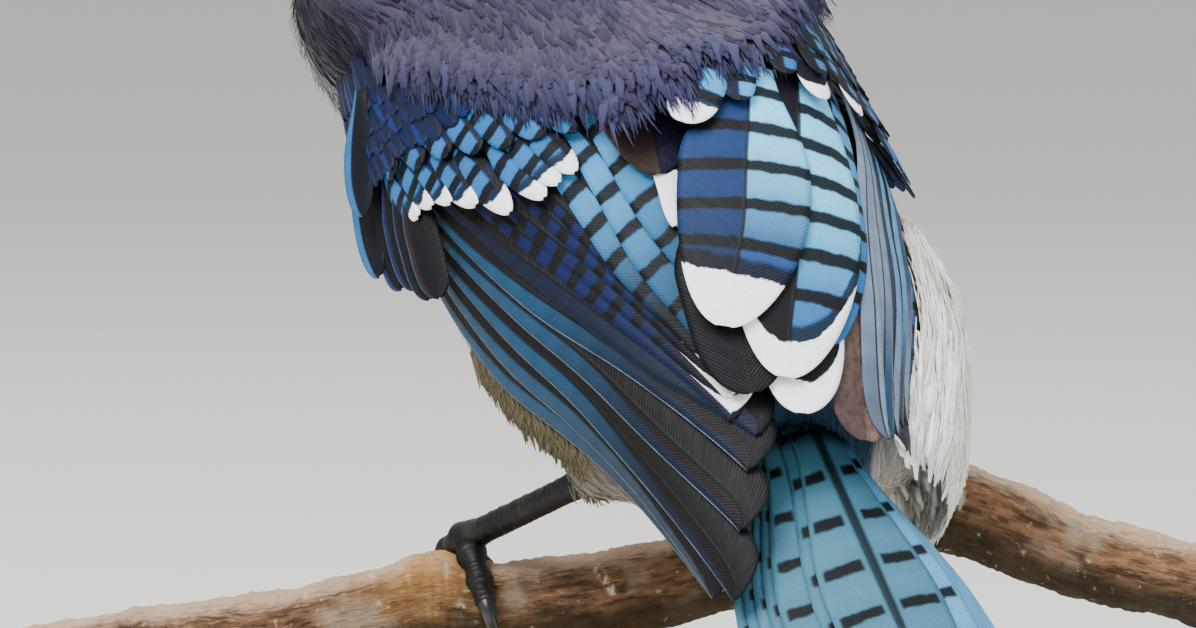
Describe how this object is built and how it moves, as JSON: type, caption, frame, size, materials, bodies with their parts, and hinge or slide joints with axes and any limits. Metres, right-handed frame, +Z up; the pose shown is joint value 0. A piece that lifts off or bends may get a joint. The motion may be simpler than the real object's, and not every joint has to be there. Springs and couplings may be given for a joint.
{
  "type": "blue jay",
  "caption": "Life-size still model of a blue jay gripping a cut length of branch, head turned to its left, tail hanging, on a plain round display stand.",
  "frame": {"origin": "centre of the flat underside of the stand's base", "axes": "+Z up, -Y the way the bird's body faces, +X the bird's left side"},
  "size_m": [0.1919, 0.2229, 0.2087],
  "materials": {
    "plumage_blue": "barred feather, slight sheen",
    "plumage_mauve": "soft body feather",
    "plumage_white": "soft down",
    "bill": "satin horn",
    "eye": "wet gloss",
    "leg_skin": "scaled skin, satin",
    "bark": "weathered bark",
    "stand_wood": "satin varnish",
    "stand_metal": "brushed"
  },
  "bodies": {
    "root": {"torso": "plumage_mauve", "neck": "plumage_mauve", "head": "plumage_blue", "eye_left": "eye", "eye_right": "eye", "bill_upper": "bill", "bill_lower": "bill", "wing_left": "plumage_blue", "wing_right": "plumage_blue", "tail": "plumage_blue", "perch": "bark", "thigh_left": "plumage_white", "thigh_right": "plumage_white", "leg_left": "leg_skin", "leg_right": "leg_skin", "foot_left": "leg_skin", "foot_right": "leg_skin", "stand_base": "stand_wood", "stand_rod_left": "stand_metal", "stand_rod_right": "stand_metal"}
  },
  "joints": []
}
